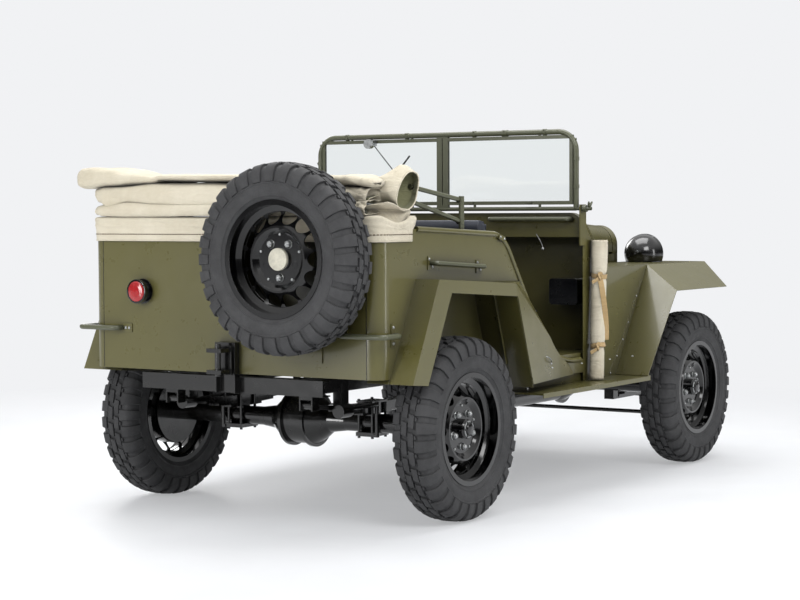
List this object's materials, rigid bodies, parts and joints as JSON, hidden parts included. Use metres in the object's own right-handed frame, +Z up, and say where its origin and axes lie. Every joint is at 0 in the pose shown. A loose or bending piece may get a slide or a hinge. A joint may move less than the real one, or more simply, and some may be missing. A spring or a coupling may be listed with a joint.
{
  "type": "army 4x4 car",
  "caption": "Open military field car with four driven wheels, folded canvas top, fold-flat windscreen, hinged hood and a spare wheel on its rear panel.",
  "frame": {"origin": "on the ground, midway between the front bumper and the spare tyre, on the car's centre line", "axes": "+X forward, +Y the car's left, +Z up"},
  "size_m": [3.35, 1.69, 1.56],
  "materials": {
    "body_olive": "satin olive paint",
    "chassis_black": "gloss black paint",
    "wheel_black": "gloss black paint",
    "tyre": "matt rubber",
    "screen_frame": "satin dark olive paint",
    "glass": "clear",
    "red_lens": "clear red",
    "canvas": "heavy cotton canvas",
    "seat_cover": "grey leathercloth",
    "engine_iron": "painted casting",
    "core": "matt black painted core",
    "bare_metal": "dull cast metal",
    "black_plastic": "gloss black"
  },
  "bodies": {
    "chassis": {"body_floor": "body_olive", "cowl": "body_olive", "dashboard": "body_olive", "front_fenders": "body_olive", "radiator_shell": "body_olive", "rear_fenders": "body_olive", "rear_panel": "body_olive", "side_panel_left": "body_olive", "side_panel_right": "body_olive", "rear_seat_frame": "body_olive", "seat_frames": "body_olive", "chassis_frame": "chassis_black", "front_bumper": "chassis_black", "tow_hitch": "chassis_black", "spare_carrier": "chassis_black", "running_boards": "chassis_black", "headlamps": "chassis_black", "tail_lamp": "chassis_black", "dash_box": "chassis_black", "exhaust": "chassis_black", "front_axle": "chassis_black", "rear_axle": "chassis_black", "steering_column": "chassis_black", "levers_and_pedals": "chassis_black", "prop_shafts": "chassis_black", "front_springs": "chassis_black", "rear_springs": "chassis_black", "dampers": "chassis_black", "transmission": "chassis_black", "rim_spare": "wheel_black", "tyre_spare": "tyre", "grab_handles": "screen_frame", "top_bows": "screen_frame", "headlamp_lenses": "glass", "tail_lens": "red_lens", "canvas_top": "canvas", "curtain_rolls": "canvas", "front_seats": "seat_cover", "rear_seat": "seat_cover", "engine_block": "engine_iron", "radiator_core": "core"},
    "wheel_front_left": {"rim_front_left": "wheel_black", "tyre_front_left": "tyre"},
    "wheel_front_right": {"rim_front_right": "wheel_black", "tyre_front_right": "tyre"},
    "wheel_rear_left": {"rim_rear_left": "wheel_black", "tyre_rear_left": "tyre"},
    "wheel_rear_right": {"rim_rear_right": "wheel_black", "tyre_rear_right": "tyre"},
    "knuckle_left": {"knuckle_left": "chassis_black"},
    "knuckle_right": {"knuckle_right": "chassis_black"},
    "tie_rod": {"tie_rod": "chassis_black"},
    "steering_wheel": {"steering_wheel": "black_plastic"},
    "hood": {"hood": "body_olive"},
    "windscreen": {"windscreen_frame": "screen_frame", "windscreen_glass": "glass", "wiper_motor": "bare_metal"}
  },
  "joints": [
    {"name": "spin_rear_left", "type": "hinge", "parent": "chassis", "child": "wheel_rear_left", "pos_m": [-0.957, 0.723, 0.361], "axis": [0, 1, 0], "continuous": true},
    {"name": "spin_rear_right", "type": "hinge", "parent": "chassis", "child": "wheel_rear_right", "pos_m": [-0.957, -0.723, 0.361], "axis": [0, 1, 0], "continuous": true},
    {"name": "steer_left", "type": "hinge", "parent": "chassis", "child": "knuckle_left", "pos_m": [1.143, 0.59, 0.361], "axis": [0, 0, 1], "range_deg": [-30, 30]},
    {"name": "steer_right", "type": "hinge", "parent": "chassis", "child": "knuckle_right", "pos_m": [1.143, -0.59, 0.361], "axis": [0, 0, 1], "range_deg": [-30, 30]},
    {"name": "tie_rod_pivot", "type": "hinge", "parent": "knuckle_left", "child": "tie_rod", "pos_m": [0.978, 0.59, 0.247], "axis": [0, 0, 1], "range_deg": [-30, 30]},
    {"name": "spin_front_left", "type": "hinge", "parent": "knuckle_left", "child": "wheel_front_left", "pos_m": [1.143, 0.723, 0.361], "axis": [0, 1, 0], "continuous": true},
    {"name": "spin_front_right", "type": "hinge", "parent": "knuckle_right", "child": "wheel_front_right", "pos_m": [1.143, -0.723, 0.361], "axis": [0, 1, 0], "continuous": true},
    {"name": "steering_wheel_turn", "type": "hinge", "parent": "chassis", "child": "steering_wheel", "pos_m": [-0.09, 0.38, 1.075], "axis": [-0.766, 0, 0.6428], "range_deg": [-390, 390]},
    {"name": "hood_lift", "type": "hinge", "parent": "chassis", "child": "hood", "pos_m": [0.309, 0, 1.178], "axis": [0, -1, 0], "range_deg": [0, 50]},
    {"name": "windscreen_fold", "type": "hinge", "parent": "chassis", "child": "windscreen", "pos_m": [0.12, 0, 1.213], "axis": [0, -1, 0], "range_deg": [-90, 0]}
  ],
  "couplings": [
    {"joint": "steer_right", "follows": "steer_left", "ratio": 1},
    {"joint": "tie_rod_pivot", "follows": "steer_left", "ratio": -1},
    {"joint": "steering_wheel_turn", "follows": "steer_left", "ratio": 13}
  ]
}
